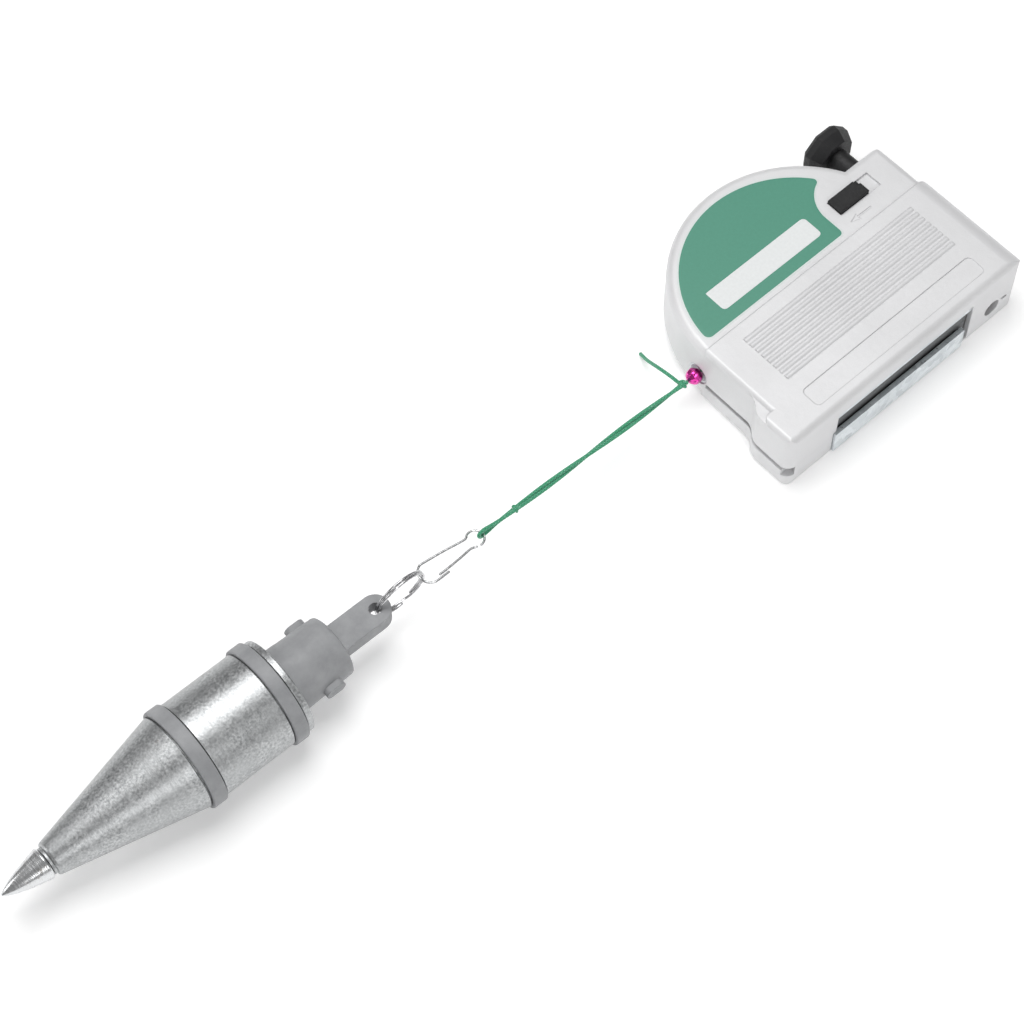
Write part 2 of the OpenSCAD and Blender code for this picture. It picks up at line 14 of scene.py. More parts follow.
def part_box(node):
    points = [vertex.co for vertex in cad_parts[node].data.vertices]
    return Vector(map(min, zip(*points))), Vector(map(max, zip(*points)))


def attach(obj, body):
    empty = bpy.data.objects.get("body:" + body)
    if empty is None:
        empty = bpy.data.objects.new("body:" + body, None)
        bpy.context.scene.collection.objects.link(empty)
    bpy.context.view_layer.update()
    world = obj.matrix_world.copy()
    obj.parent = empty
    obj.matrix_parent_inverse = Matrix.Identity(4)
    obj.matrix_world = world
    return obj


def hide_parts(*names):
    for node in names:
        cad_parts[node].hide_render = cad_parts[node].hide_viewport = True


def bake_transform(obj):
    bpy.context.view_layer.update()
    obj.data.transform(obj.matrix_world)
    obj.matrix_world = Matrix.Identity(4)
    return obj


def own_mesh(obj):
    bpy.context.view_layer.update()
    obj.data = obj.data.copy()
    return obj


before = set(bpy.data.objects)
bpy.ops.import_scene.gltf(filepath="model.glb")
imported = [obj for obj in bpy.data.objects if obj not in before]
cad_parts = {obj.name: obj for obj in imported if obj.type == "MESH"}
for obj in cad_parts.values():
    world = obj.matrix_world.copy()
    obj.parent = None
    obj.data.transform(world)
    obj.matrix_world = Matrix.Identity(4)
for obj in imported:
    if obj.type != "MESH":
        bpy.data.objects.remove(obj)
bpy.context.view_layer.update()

# %% [markdown]
# ## Where things are
# Everything on the case is easiest to say in millimetres from one corner of it: x along the
# case, y from the magnet side, z up. The rear shell gives that corner, and `at` turns such a
# place into metres in the frame. The bob has its own line, from its point to its lug; its point
# is given in case millimetres, and the box of its lower band gives its radius.

# %% Places on the case
FOOT_OUT = 4.2
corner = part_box("rear_shell")[0]
CASE_X = corner[0] * 1000 + FOOT_OUT
CASE_Y = corner[1] * 1000


def at(x, y, z):
    """Millimetres from the case corner, as metres in the frame; x, y and z may be arrays."""
    x, y, z = np.broadcast_arrays(*(np.asarray(v, float) for v in (x, y, z)))
    return np.stack([(x + CASE_X) / 1000, (y + CASE_Y) / 1000, z / 1000], -1)


print("case corner at", round(CASE_X, 3), round(CASE_Y, 3), "mm")

# %% The bob's own line
BAND_R = (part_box("lower_band")[1][2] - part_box("lower_band")[0][2]) * 500
TIP = np.array([-293.7, 53.25, BAND_R])
BOB_TURN = math.radians(-1.24)
BOB_DIR = np.array([math.cos(BOB_TURN), math.sin(BOB_TURN), 0.0])
BOB_SIDE = np.array([-math.sin(BOB_TURN), math.cos(BOB_TURN), 0.0])
BOB_UP = np.array([0.0, 0.0, 1.0])


def on_bob(s, side, up):
    """Distance along the bob from its point, to its side and upward, in mm, as metres in the frame."""
    s, side, up = np.broadcast_arrays(*(np.asarray(v, float) for v in (s, side, up)))
    p = TIP + s[..., None] * BOB_DIR + side[..., None] * BOB_SIDE + up[..., None] * BOB_UP
    return at(p[..., 0], p[..., 1], p[..., 2])


print("bob radius over its bands", round(BAND_R, 2), "mm")

# %% [markdown]
# ## The camera
# The tool is seen from above and from the bob's side of the magnet face, with a long lens, so
# its edges stay nearly parallel.

# %% Camera
PITCH, ROLL, TURN = math.radians(60.57), math.radians(-0.35), math.radians(41.866)
right = Vector((math.cos(TURN), -math.sin(TURN), 0.0))
ahead = Vector((math.sin(TURN) * math.cos(PITCH), math.cos(TURN) * math.cos(PITCH), -math.sin(PITCH)))
above = right.cross(ahead)
cam_right = right * math.cos(ROLL) + above * math.sin(ROLL)
cam_up = above * math.cos(ROLL) - right * math.sin(ROLL)
cam_data = bpy.data.cameras.new("camera")
cam_data.sensor_width, cam_data.lens = 36.0, 2700 / 1024 * 36
cam_data.clip_start, cam_data.clip_end = 0.02, 50
camera = bpy.data.objects.new("camera", cam_data)
bpy.context.scene.collection.objects.link(camera)
camera.matrix_world = Matrix.Translation(Vector(at(-380.6, -280.2, 800.0))) @ Matrix(
    (cam_right, cam_up, -ahead)).transposed().to_4x4()
bpy.context.scene.camera = camera
print("camera at", [round(v, 3) for v in camera.matrix_world.translation])

# %% [markdown]
# ## Floor and light
# The tool lies on plain white paper under large soft lamps. A shallow backdrop is enough, since
# the view never reaches a horizon. One big lamp overhead gives the even brightness, one from
# the magnet side wakes the edges, and a pale sky fills the shadows.

# %% Floor
def add_mesh(name, verts, faces, smooth=True):
    """A mesh object from an array of points in metres and a list or array of faces."""
    me = bpy.data.meshes.new(name)
    me.from_pydata(np.asarray(verts, float).reshape(-1, 3).tolist(), [], [list(f) for f in faces])
    me.validate()
    me.update()
    me.polygons.foreach_set("use_smooth", np.full(len(me.polygons), smooth))
    ob = bpy.data.objects.new(name, me)
    bpy.context.scene.collection.objects.link(ob)
    return ob


floor = add_mesh("floor", [(-9, -9, 0), (9, -9, 0), (9, 9, 0), (-9, 9, 0)], [(0, 1, 2, 3)], False)


# %% Lights
def lamp(name, place, target, size, watts):
    """A square area lamp at a place in metres, turned to face a target."""
    data = bpy.data.lights.new(name, "AREA")
    data.shape, data.size, data.energy = "SQUARE", size, watts
    ob = bpy.data.objects.new(name, data)
    bpy.context.scene.collection.objects.link(ob)
    ob.location = place
    ob.rotation_mode = "QUATERNION"
    ob.rotation_quaternion = (Vector(target) - Vector(place)).to_track_quat("-Z", "Y")


lamp("overhead", (0.10, 0.25, 1.30), (0, 0, 0), 0.9, 11.5)
lamp("side", (-0.35, -1.10, 0.75), (0.05, 0, 0.01), 0.5, 3.6)
lamp("far", (-0.9, 0.8, 0.6), (0, 0, 0.01), 0.5, 2.4)
world = bpy.data.worlds.new("studio")
bpy.context.scene.world = world
world.use_nodes = True
world.node_tree.nodes["Background"].inputs["Color"].default_value = (1, 1, 1, 1)
world.node_tree.nodes["Background"].inputs["Strength"].default_value = 0.27
bpy.context.scene.view_settings.view_transform = "Standard"

# %% [markdown]
# ## Finishes
# Every finish is built from the same few nodes: a Principled shader whose colour, roughness and
# bump each come from noise at a size read off the real surface. Numbers that are the same all
# over are set on the shader's own sockets.

# %% Node helpers
class Finish:
    """Builds one node material; every method returns an output socket."""

    def __init__(self, name, **sockets):
        self.mat = bpy.data.materials.new(name)
        self.mat.use_nodes = True
        self.tree = self.mat.node_tree
        self.shader = self.tree.nodes["Principled BSDF"]
        self.place = self.node("ShaderNodeTexCoord").outputs["Object"]
        for key, value in sockets.items():
            self.set(key.replace("_", " "), value)

    def node(self, kind, **settings):
        """A new node of a kind, with its settings."""
        n = self.tree.nodes.new(kind)
        for key, value in settings.items():
            setattr(n, key, value)
        return n

    def set(self, socket, value):
        """A plain number or colour goes on the shader's own socket; an output is linked to it."""
        target = self.shader.inputs[socket]
        if isinstance(value, bpy.types.NodeSocket):
            self.tree.links.new(value, target)
        elif isinstance(value, (tuple, list)) and len(value) == 3:
            target.default_value = (*value, 1)
        else:
            target.default_value = value

    def link(self, value, target):
        """The same for any input of any node."""
        if isinstance(value, bpy.types.NodeSocket):
            self.tree.links.new(value, target)
        elif isinstance(value, (tuple, list)) and len(value) == 3 and len(target.default_value) == 4:
            target.default_value = (*value, 1)
        else:
            target.default_value = value

    def stretch(self, scale, turn=(0, 0, 0)):
        """Coordinates stretched by a scale in each direction and turned, in degrees."""
        n = self.node("ShaderNodeMapping", vector_type="POINT")
        self.link(self.place, n.inputs["Vector"])
        n.inputs["Scale"].default_value = scale
        n.inputs["Rotation"].default_value = [math.radians(a) for a in turn]
        return n.outputs["Vector"]

    def noise(self, scale, detail=3.0, rough=0.5, where=None):
        """Cloudy noise from 0 to 1; scale is about how many lumps there are in a metre."""
        n = self.node("ShaderNodeTexNoise")
        self.link(where or self.place, n.inputs["Vector"])
        n.inputs["Scale"].default_value = scale
        n.inputs["Detail"].default_value = detail
        n.inputs["Roughness"].default_value = rough
        return n.outputs["Fac"]

    def cells(self, scale):
        """A different tone for each of many small cells, like crystals in a casting."""
        n = self.node("ShaderNodeTexVoronoi")
        self.link(self.place, n.inputs["Vector"])
        n.inputs["Scale"].default_value = scale
        return n.outputs["Color"]

    def span(self, value, low, high, a=0.0, b=1.0):
        """Carries a value from low..high to a..b and holds it there."""
        n = self.node("ShaderNodeMapRange")
        self.link(value, n.inputs["Value"])
        for key, v in (("From Min", low), ("From Max", high), ("To Min", a), ("To Max", b)):
            n.inputs[key].default_value = v
        return n.outputs["Result"]

    def math(self, op, a, b=0.0):
        """One sum of two values: a op b."""
        n = self.node("ShaderNodeMath", operation=op)
        self.link(a, n.inputs[0])
        self.link(b, n.inputs[1])
        return n.outputs[0]

    def mix(self, fac, a, b):
        """Colour a where fac is 0, colour b where it is 1."""
        n = self.node("ShaderNodeMix", data_type="RGBA")
        self.link(fac, n.inputs[0])
        self.link(a, n.inputs[6])
        self.link(b, n.inputs[7])
        return n.outputs[2]

    def bump(self, height, distance, strength=1.0, edge=0.0):
        """A small relief; edge adds rounding of that radius at sharp corners."""
        n = self.node("ShaderNodeBump")
        self.link(height, n.inputs["Height"])
        n.inputs["Distance"].default_value = distance
        n.inputs["Strength"].default_value = strength
        if edge:
            bevel = self.node("ShaderNodeBevel", samples=4)
            bevel.inputs["Radius"].default_value = edge
            self.tree.links.new(bevel.outputs["Normal"], n.inputs["Normal"])
        self.set("Normal", n.outputs["Normal"])


def dress(material, *names):
    """Puts a finish on the CAD nodes of those names."""
    for name in names:
        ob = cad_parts[name]
        ob.data.materials.clear()
        ob.data.materials.append(material)


# %% [markdown]
# ### Silver paint on the shells
# The shells are moulded and sprayed with a satin silver lacquer. Close up it is a very fine
# grain of flakes in a slightly uneven coat, so a fine noise moves colour and roughness and a
# broader one gives the gentle unevenness of a sprayed skin.

# %% Silver paint
silver = Finish("silver_paint", Metallic=0.2, Coat_Weight=0.12, Coat_Roughness=0.3)
flake = silver.noise(5200, 2, 0.6)
cloud = silver.noise(38, 3, 0.55)
tone = silver.math("ADD", silver.span(flake, 0.3, 0.7, -0.035, 0.035),
                   silver.span(cloud, 0.3, 0.7, 0.72, 0.77))
shade = silver.node("ShaderNodeCombineColor")
silver.link(tone, shade.inputs[0])
silver.link(tone, shade.inputs[1])
silver.link(silver.math("MULTIPLY", tone, 1.012), shade.inputs[2])
silver.set("Base Color", shade.outputs[0])
silver.set("Roughness", silver.span(flake, 0.3, 0.7, 0.40, 0.52))
skin = silver.math("ADD", silver.math("MULTIPLY", flake, 0.25), silver.noise(420, 3))
silver.bump(skin, 0.00006, 1.0, 0.0005)
dress(silver.mat, "front_shell", "rear_shell")

# %% [markdown]
# ### Zinc, ferrite and bright metal
# The pole plates are stamped from galvanised sheet, whose zinc freezes in pale and dark
# crystals a few millimetres wide. The magnet between them is dull grey ferrite. Small turned
# parts are plain plated steel, and the bush round the pin is brass coloured near black, painted shade for the pin
# hole.

# %% Pole plates, magnet and small metal
zinc = Finish("pole_zinc", Metallic=1.0)
zinc.set("Base Color", zinc.mix(zinc.cells(330), (0.62, 0.66, 0.68), (0.86, 0.90, 0.92)))
zinc.set("Roughness", zinc.span(zinc.noise(900, 3), 0.3, 0.7, 0.26, 0.44))
zinc.bump(zinc.noise(1500, 2), 0.00003, 1.0, 0.0003)
dress(zinc.mat, "front_pole_plate", "rear_pole_plate")

ferrite = Finish("ferrite", Metallic=0.0)
ferrite.set("Base Color", ferrite.mix(ferrite.noise(700, 4), (0.10, 0.104, 0.108), (0.20, 0.205, 0.21)))
ferrite.set("Roughness", ferrite.span(ferrite.noise(1900, 2), 0.3, 0.7, 0.55, 0.8))
ferrite.bump(ferrite.noise(2600, 3), 0.00008, 1.0, 0.0003)
dress(ferrite.mat, "magnet")


def plain_metal(name, dark, light, rough):
    """Plated metal with a fine uneven grain between two tones."""
    f = Finish(name, Metallic=1.0)
    grain = 2600
    f.set("Base Color", f.mix(f.noise(grain * 0.35, 3), dark, light))
    f.set("Roughness", f.span(f.noise(grain, 2), 0.3, 0.7, rough, rough + 0.16))
    f.bump(f.noise(grain, 2), 0.00002, 1.0, 0.0003)
    return f.mat


steel = plain_metal("plated_steel", (0.46, 0.47, 0.49), (0.66, 0.67, 0.69), 0.24)
dress(steel, "exit_eyelet", "case_screws", "drum_axle", "spring_cover", "cap_stud", "steel_pin")
blued = plain_metal("blued_spring", (0.13, 0.15, 0.20), (0.24, 0.26, 0.31), 0.3)
dress(blued, "axle_clip", "power_spring")
# painted shade: the pin bush is given a near-black colour so that the pin hole reads dark
pin_hole_shade_metal = plain_metal("pin_bush_painted_shade", (0.018, 0.015, 0.011), (0.045, 0.037, 0.027), 0.5)
dress(pin_hole_shade_metal, "pin_bush")


# %% [markdown]
# ### Moulded plastics
# Black and grey parts are moulded nylon: a dull skin with a fine spark-eroded texture, scuffed a
# little lighter where it is handled. One maker gives both, and the drum inside.

# %% Plastics
def moulded(name, dark, light, rough):
    """Dull moulded plastic between two tones, with a fine grain and soft edges."""
    f = Finish(name)
    patch = f.noise(150, 4, 0.6)
    f.set("Base Color", f.mix(f.span(patch, 0.35, 0.7), dark, light))
    f.set("Roughness", f.span(f.noise(900, 3), 0.3, 0.7, rough, rough + 0.14))
    f.bump(f.math("ADD", f.noise(1800, 2), f.noise(260, 3)), 0.00007, 1.0, 0.0004)
    return f.mat


black = moulded("black_plastic", (0.004, 0.004, 0.005), (0.011, 0.011, 0.012), 0.5)
dress(black, "plunger_sleeve", "lock_slider", "brake_shoe",
      "plunger_knob", "plunger_shaft", "pin_carrier")
dress(moulded("drum_plastic", (0.62, 0.62, 0.58), (0.72, 0.72, 0.68), 0.4), "line_drum")
grey = moulded("grey_plastic", (0.27, 0.275, 0.285), (0.34, 0.345, 0.355), 0.46)
dress(grey, "bob_cap")

# %% [markdown]
# ## Printed film on the drum
# The green field is a vinyl sticker: an arc round the drum, a straight lower edge, and a bite
# that follows the lock. A pale border shows all round it, because the white film is cut a little
# larger than the print. Both are the same outline, drawn as a function of angle about a middle
# point and filled toward it; the outer one is simply the wider of the two.

# %% Outline helpers
def round_corners(points, radii, steps=8):
    """Each corner of a closed outline becomes an arc that touches both sides, its radius given."""
    p = np.asarray(points, float)
    out = []
    for i, r in enumerate(np.broadcast_to(radii, len(p))):
        a, b = p[i - 1] - p[i], p[(i + 1) % len(p)] - p[i]
        a, b = a / np.linalg.norm(a), b / np.linalg.norm(b)
        half = math.acos(np.clip(a @ b, -1, 1)) / 2
        if r <= 0 or half > 1.55:
            out.append(p[i][None])
            continue
        mid = (a + b) / np.linalg.norm(a + b)
        centre = p[i] + mid * r / math.sin(half)
        cut = r / math.tan(half)
        start, end = p[i] + a * cut - centre, p[i] + b * cut - centre
        t = np.linspace(0, 1, steps)[:, None]
        arc = start * (1 - t) + end * t
        out.append(centre + arc / np.linalg.norm(arc, axis=1)[:, None] * r)
    return np.concatenate(out)


def arc_points(cx, cy, r, a0, a1, n):
    """Points on a circle from angle a0 to a1 in degrees."""
    a = np.radians(np.linspace(a0, a1, n))
    return np.stack([cx + r * np.cos(a), cy + r * np.sin(a)], -1)


def even(points, count):
    """The closed outline walked at equal steps, so its points are the same distance apart."""
    p = np.vstack([points, points[:1]])
    d = np.concatenate([[0], np.cumsum(np.linalg.norm(np.diff(p, axis=0), axis=1))])
    s = np.linspace(0, d[-1], count, endpoint=False)
    return np.stack([np.interp(s, d, p[:, k]) for k in range(2)], -1)


def film(name, outline, middle, z, thick, rings=7):
    """A thin closed film: points run from the outline straight toward the middle, the rim rounded
    over by a quarter turn, and the underside repeats the outline."""
    mid = np.asarray(middle, float)
    rim = np.linspace(0.3, 1.57, 3)
    f = np.concatenate([[1.0, 1.0], 1 - 0.004 * (1 - np.cos(rim)), np.linspace(0.96, 0.12, rings)])
    h = np.concatenate([[0.0, 0.55], 0.55 + 0.45 * np.sin(rim), np.ones(rings)]) * thick
    xy = mid + f[:, None, None] * (outline - mid)[None]
    top = at(xy[..., 0], xy[..., 1], z + h[:, None])
    n, m = top.shape[:2]
    verts = np.concatenate([top.reshape(-1, 3), at(*mid, z + thick)[None], at(*mid, z)[None]])
    i, j = np.meshgrid(np.arange(n - 1), np.arange(m), indexing="ij")
    k = (j + 1) % m
    quads = np.stack([i * m + j, i * m + k, (i + 1) * m + k, (i + 1) * m + j], -1).reshape(-1, 4)
    a = np.arange(m)
    b = (a + 1) % m
    fan = np.stack([(n - 1) * m + a, (n - 1) * m + b, np.full(m, n * m)], -1)
    under = np.stack([b, a, np.full(m, n * m + 1)], -1)
    return add_mesh(name, verts, quads.tolist() + fan.tolist() + under.tolist())


# %% The decal outline
FRONT_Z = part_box("decal")[0][2] * 1000
DRUM_MID, DRUM_ARC = np.array([46.7, 46.7]), 42.0
LOCK_MID, LOCK_ARC = np.array([84.4, 58.0]), 13.7
LOW_EDGE, RIGHT_EDGE = 49.3, 70.7


def angle_of(v):
    """The direction of a flat vector in degrees."""
    return math.degrees(math.atan2(v[1], v[0]))


def decal_outline(grow):
    """The arc round the drum, the straight lower edge and the bite round the lock, all moved
    outward by grow. Each rounded corner keeps its middle: inside the big arc that middle is the
    corner's radius short of the arc, beside the bite it is the same radius outside it."""
    left, low, top = 2.2, 1.6, 1.5
    rise = LOW_EDGE + left - DRUM_MID[1]
    a = np.array([DRUM_MID[0] - math.sqrt((DRUM_ARC - left) ** 2 - rise**2), LOW_EDGE + left])
    b = np.array([RIGHT_EDGE - low, LOW_EDGE + low])
    gap = LOCK_MID - DRUM_MID
    d = np.linalg.norm(gap)
    r1, r2 = DRUM_ARC - top, LOCK_ARC + top
    along = (d**2 + r1**2 - r2**2) / (2 * d)
    c = DRUM_MID + gap / d * along + np.array([-gap[1], gap[0]]) / d * math.sqrt(r1**2 - along**2)
    start, end = angle_of(c - DRUM_MID), angle_of(a - DRUM_MID)
    bite_end = angle_of(c - LOCK_MID)
    p = np.vstack([arc_points(*DRUM_MID, DRUM_ARC + grow, start, end, 90),
                   arc_points(*a, left + grow, end, 270, 9)[1:],
                   arc_points(*b, low + grow, 270, 360, 8),
                   arc_points(*LOCK_MID, LOCK_ARC - grow, 180, bite_end, 22),
                   arc_points(*c, top + grow, bite_end - 180, start, 8)[1:-1]])
    return even(p, 300)


FILL_TO, BORDER, PANEL = (40, 66), 0.6, (17.3, 54, 65, 63.4)
border = film("decal_border", decal_outline(BORDER), FILL_TO, FRONT_Z, 0.10)
green_film = film("decal_green", decal_outline(0.0), FILL_TO, FRONT_Z + 0.09, 0.10)
x0, y0, x1, y1 = PANEL
panel_corners = round_corners([(x0, y0), (x1, y0), (x1, y1), (x0, y1)], [1.6, 1.6, 1.6, 0.2])
plate = film("label_panel", even(panel_corners, 160), (41, 58.7), FRONT_Z + 0.18, 0.08)


def printed(name, colour, rough):
    """Printed vinyl: even colour, a fine grain and a faint unevenness of the film."""
    f = Finish(name, Coat_Weight=0.15, Coat_Roughness=0.25)
    dark, light = tuple(c * 0.93 for c in colour), tuple(min(1, c * 1.06) for c in colour)
    f.set("Base Color", f.mix(f.noise(900, 4), dark, light))
    f.set("Roughness", f.span(f.noise(1600, 2), 0.3, 0.7, rough, rough + 0.1))
    f.bump(f.noise(120, 3), 0.00003)
    return f.mat


border.data.materials.append(printed("pale_film", (0.72, 0.78, 0.76), 0.4))
green_film.data.materials.append(printed("green_film", (0.080, 0.300, 0.210), 0.42))
plate.data.materials.append(printed("white_film", (0.80, 0.82, 0.82), 0.4))
for piece, name in ((border, "decal_green"), (green_film, "decal_green"), (plate, "label_white")):
    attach(piece, "case")
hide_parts("decal")
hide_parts("decal")
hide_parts("label_plate")
print("film lies at", round(FRONT_Z, 2), "mm")

# %% [markdown]
# ## The steel bob
# The bob is turned on a lathe, so one profile turned about its axis gives each of its parts. A
# true lathe part has no sharp corner: each corner of the profile gets a small arc, and a close
# pair of points beside it keeps the flats flat when the surface is shaded smooth.

# %% Turning on the lathe
def soft_profile(points, radii, near=0.12):
    """An open profile whose inner corners become arcs, with a point close by on each side."""
    p = np.asarray(points, float)
    out = [p[:1]]
    for i in range(1, len(p) - 1):
        r = float(np.broadcast_to(radii, len(p))[i])
        a, b = p[i - 1] - p[i], p[i + 1] - p[i]
        la, lb = np.linalg.norm(a), np.linalg.norm(b)
        a, b = a / la, b / lb
        half = math.acos(np.clip(a @ b, -1, 1)) / 2
        if half > 1.50 or r <= 0:
            out.append(p[i][None])
            continue
        cut = min(r / math.tan(half), 0.45 * la, 0.45 * lb)
        rr = cut * math.tan(half)
        centre = p[i] + (a + b) / np.linalg.norm(a + b) * rr / math.sin(half)
        start, end = p[i] + a * cut - centre, p[i] + b * cut - centre
        t = np.linspace(0, 1, 6)[:, None]
        arc = start * (1 - t) + end * t
        arc = centre + arc / np.linalg.norm(arc, axis=1)[:, None] * rr
        before, after = p[i] + a * min(cut + near, 0.49 * la), p[i] + b * min(cut + near, 0.49 * lb)
        out += [before[None], arc, after[None]]
    out.append(p[-1:])
    return np.concatenate(out)


def turned(name, profile, around=192):
    """Distance along the axis and radius, turned through a full circle: side is r cos a and up is
    r sin a. A profile that starts and ends on the axis closes to a point there; one that does not
    closes on itself as a ring."""
    s, r = profile[:, 0], profile[:, 1]
    a = np.linspace(0, 2 * np.pi, around, endpoint=False)
    solid = r[0] < 1e-6
    ss, rr = (s[1:-1], r[1:-1]) if solid else (s, r)
    grid = on_bob(ss[:, None] + 0 * a, rr[:, None] * np.cos(a), rr[:, None] * np.sin(a))
    n, m = grid.shape[:2]
    rows = np.arange(n - 1) if solid else np.arange(n)
    i, j = np.meshgrid(rows, np.arange(m), indexing="ij")
    i2, k = (i + 1) % n, (j + 1) % m
    faces = np.stack([i * m + j, i * m + k, i2 * m + k, i2 * m + j], -1).reshape(-1, 4).tolist()
    verts = grid.reshape(-1, 3)
    if solid:
        verts = np.concatenate([verts, on_bob(s[0], 0, 0)[None], on_bob(s[-1], 0, 0)[None]])
        b = np.arange(m)
        c = (b + 1) % m
        faces += np.stack([c, b, np.full(m, n * m)], -1).tolist()
        faces += np.stack([(n - 1) * m + b, (n - 1) * m + c, np.full(m, n * m + 1)], -1).tolist()
    ob = add_mesh(name, verts, faces)
    face_out(ob)
    return ob


def face_out(ob):
    """Turns the faces outward if the closed mesh holds a negative volume."""
    me = ob.data
    me.calc_loop_triangles()
    co = np.empty(len(me.vertices) * 3)
    me.vertices.foreach_get("co", co)
    co = co.reshape(-1, 3)
    tri = np.empty(len(me.loop_triangles) * 3, int)
    me.loop_triangles.foreach_get("vertices", tri)
    a, b, c = co[tri.reshape(-1, 3)].transpose(1, 0, 2)
    if np.einsum("ij,ij->i", a, np.cross(b, c)).sum() < 0:
        me.flip_normals()


# %% The parts of the bob
BARREL_R, TIP_LEN, CONE_END, STEEL_END, BOB_LEN = 17.65, 16.6, 68.6, 109.7, 154.5
BANDS = ((68.6, 74.0), (101.8, 107.0))
bob_profile = soft_profile(
    [(TIP_LEN + 0.3, 0), (TIP_LEN + 0.3, 4.9), (TIP_LEN + 1.25, 4.9), (TIP_LEN + 1.5, 5.75), (TIP_LEN + 2.2, 6.1),
     (CONE_END - 0.5, BARREL_R - 0.2), (CONE_END - 0.45, BARREL_R - 1.1), (BANDS[0][1] + 0.25, BARREL_R - 1.1),
     (BANDS[0][1] + 0.3, BARREL_R), (BANDS[1][0] - 0.3, BARREL_R), (BANDS[1][0] - 0.25, BARREL_R - 1.1),
     (BANDS[1][1] + 0.25, BARREL_R - 1.1), (BANDS[1][1] + 0.3, BARREL_R - 0.05), (STEEL_END, BARREL_R - 0.15),
     (STEEL_END, BARREL_R - 2.2), (STEEL_END - 0.4, BARREL_R - 2.6), (STEEL_END - 0.4, 0)],
    [0, 0.3, 0.2, 0.3, 0.5, 0.2, 0.2, 0.2, 0.2, 0.2, 0.2, 0.2, 0.2, 0.5, 0.2, 0.2, 0])
bob_steel = turned("bob_steel", bob_profile)
tip_profile = soft_profile(
    [(0, 0), (0.05, 0.25), (0.5, 0.62), (2.0, 1.55), (4.2, 2.52), (7.2, 3.45), (10.3, 4.27), (TIP_LEN - 0.5, 5.66),
     (TIP_LEN, 5.3), (TIP_LEN + 0.1, 4.85), (TIP_LEN + 0.2, 0)], [0, 0.1, 0.6, 4, 8, 12, 12, 0.5, 0.2, 0, 0])
bob_point = turned("bob_point", tip_profile, 128)


def band_profile(s0, s1):
    """A moulded ring: flat outside with rounded shoulders."""
    return soft_profile(
        [(s0 + 0.1, BARREL_R - 1.0), (s0, BARREL_R + 0.1), (s0 + 0.15, BAND_R - 0.02), (s1 - 0.15, BAND_R - 0.02),
         (s1, BARREL_R + 0.1), (s1 - 0.1, BARREL_R - 1.0)], [0, 0.2, 0.75, 0.75, 0.2, 0])


band_low = turned("band_low", band_profile(*BANDS[0]))
band_high = turned("band_high", band_profile(*BANDS[1]))
for piece, node, where in ((bob_steel, "bob_body", "bob_zinc"), (bob_point, "bob_tip", "tip_steel"),
                           (band_low, "lower_band", "grey_plastic"), (band_high, "upper_band", "grey_plastic")):
    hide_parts(node)
    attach(piece, "bob")
for piece in (band_low, band_high):
    piece.data.materials.append(grey)
print("bob is", round(np.linalg.norm(on_bob(0, 0, 0) - on_bob(BOB_LEN, 0, 0)) * 1000, 1), "mm long")

# %% [markdown]
# ### Turned and plated steel
# The zinc plating is thin over a turned skin: bright but broken up by faint rings from the tool
# and by pale and dark specks where the plating took unevenly, with a few brown spots of rust.
# The rings need a noise squeezed along the bob's axis and drawn out round it.

# %% Bob steel and polished point
bobmetal = Finish("bob_zinc", Metallic=1.0)
lathe = bobmetal.noise(1.0, 3, 0.6, bobmetal.stretch((2600, 160, 160), (0, 0, 1.24)))
speck = bobmetal.noise(1150, 4, 0.65)
cloudy = bobmetal.noise(120, 4, 0.6)
rust = bobmetal.span(bobmetal.noise(330, 2, 0.5), 0.74, 0.78)
metal_tone = bobmetal.mix(bobmetal.span(speck, 0.34, 0.66), (0.27, 0.28, 0.285), (0.64, 0.65, 0.655))
metal_tone = bobmetal.mix(bobmetal.span(cloudy, 0.38, 0.62, 0.0, 0.6), metal_tone, (0.44, 0.45, 0.455))
bobmetal.set("Base Color", bobmetal.mix(bobmetal.math("MULTIPLY", rust, 0.5), metal_tone, (0.20, 0.12, 0.07)))
dullness = bobmetal.math("ADD", lathe, bobmetal.math("MULTIPLY", speck, 0.8))
bobmetal.set("Roughness", bobmetal.span(dullness, 0.6, 1.2, 0.30, 0.52))
bobmetal.bump(bobmetal.math("ADD", bobmetal.math("MULTIPLY", lathe, 0.5), speck), 0.00007)
bob_steel.data.materials.append(bobmetal.mat)

point = Finish("polished_point", Metallic=1.0)
ring_marks = point.noise(1.0, 3, 0.6, point.stretch((2600, 120, 120), (0, 0, 1.24)))
stain = point.span(point.noise(420, 4, 0.7), 0.56, 0.70)
point.set("Base Color", point.mix(stain, (0.72, 0.73, 0.74), (0.42, 0.40, 0.38)))
point.set("Roughness", point.span(ring_marks, 0.3, 0.7, 0.16, 0.34))
point.bump(ring_marks, 0.00003)
bob_point.data.materials.append(point.mat)

# %% [markdown]
# ## The green cord
# The leader is one length of braided cord: from its knot behind the bead it runs to the clip,
# passes through the wire eye and comes back beside itself to the knot, where its cut end is left
# free. The two runs lie together and turn slowly round each other. A braid is two families of
# strands that wind opposite ways, so the tube's radius rises and falls where they cross.

# %% Route of the cord
CORD_R, LINE_Z0 = 0.65, 12.6
EYE, EYE_R, RISE = np.array([-101.6, 49.4, 17.2]), 3.1, 0.08
TURN_X, TURN_Z = EYE[0] + EYE_R, EYE[2] - RISE * EYE_R


